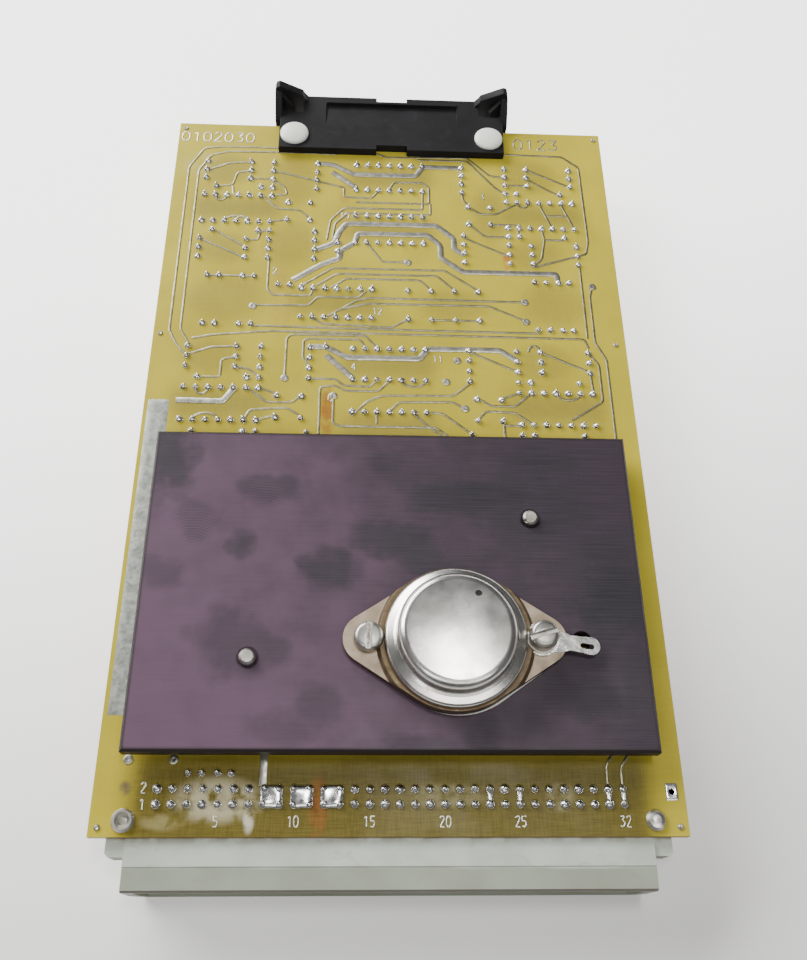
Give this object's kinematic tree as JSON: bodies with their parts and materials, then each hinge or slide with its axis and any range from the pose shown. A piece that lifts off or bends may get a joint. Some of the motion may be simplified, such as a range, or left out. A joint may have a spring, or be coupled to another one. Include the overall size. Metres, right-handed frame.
{
  "type": "plug-in control circuit card",
  "caption": "Rack circuit card lying solder side up, with a can regulator on a raised heatsink plate, a backplane plug and a moulded pull handle.",
  "frame": {"origin": "middle of the card's outline, on the surface that it lies on, component side down", "axes": "+Y from the plug edge to the handle edge, +Z out of the solder side, +X across the card to the right seen from the plug edge"},
  "size_m": [0.1, 0.1764, 0.0255],
  "materials": {
    "laminate": "glossy solder-side lacquer on translucent glass-epoxy",
    "plug_plastic": "light grey moulded polyester, slightly rough",
    "contact_gold": "gold-flashed wire, satin",
    "rivet_metal": "tinned brass, worn",
    "solder": "bright tin-lead solder, slightly uneven",
    "handle_plastic": "black moulded plastic, fine grain",
    "nylon": "natural nylon, semi-gloss",
    "anodised_plate": "black anodising faded to purple, stained",
    "plated_steel": "zinc or nickel plate, dulled",
    "insulator": "white insulating sheet",
    "flange_metal": "plated steel, tarnished to beige",
    "can_metal": "satin nickel plate, scuffed",
    "silicon": "polished chip",
    "seal_glass": "fused glass bead",
    "ic_plastic": "black moulded epoxy",
    "lead_metal": "tinned wire",
    "resistor_coat": "buff lacquer with colour rings",
    "diode_body": "black moulded body with a pale end ring",
    "disc_coat": "dipped ochre coating",
    "film_case": "blue moulded case",
    "bead_coat": "dipped amber epoxy"
  },
  "bodies": {
    "root": {"circuit_board": "laminate", "plug_housing": "plug_plastic", "plug_contacts_row_a": "contact_gold", "plug_contacts_row_b": "contact_gold", "plug_rivet_left": "rivet_metal", "plug_rivet_right": "rivet_metal", "plug_solder_joints": "solder", "card_handle": "handle_plastic", "handle_rivet_left": "nylon", "handle_rivet_right": "nylon", "heatsink_plate": "anodised_plate", "plate_screws": "plated_steel", "plate_lock_washers": "plated_steel", "plate_spacer_nuts": "plated_steel", "insulating_washer": "insulator", "regulator_base": "flange_metal", "regulator_can": "can_metal", "regulator_die": "silicon", "regulator_pins": "lead_metal", "regulator_pin_seals": "seal_glass", "regulator_screw_left": "plated_steel", "regulator_screw_right": "plated_steel", "solder_lug": "plated_steel", "regulator_bushes": "nylon", "regulator_clamp_nuts": "plated_steel", "regulator_lock_washers": "plated_steel", "regulator_end_nuts": "plated_steel", "regulator_head_washer": "plated_steel", "channel_ic_pins": "lead_metal", "centre_ic_pins": "lead_metal", "resistors": "resistor_coat", "resistor_leads": "lead_metal", "diodes": "diode_body", "diode_leads": "lead_metal", "disc_capacitors": "disc_coat", "disc_capacitor_leads": "lead_metal", "film_capacitors": "film_case", "film_capacitor_leads": "lead_metal", "bead_capacitors": "bead_coat", "bead_capacitor_leads": "lead_metal", "component_solder_joints": "solder", "channel_ic_1": "ic_plastic", "channel_ic_2": "ic_plastic", "channel_ic_3": "ic_plastic", "channel_ic_4": "ic_plastic", "centre_ic_1": "ic_plastic", "centre_ic_2": "ic_plastic", "centre_ic_3": "ic_plastic", "centre_ic_4": "ic_plastic", "centre_ic_5": "ic_plastic"}
  },
  "joints": []
}
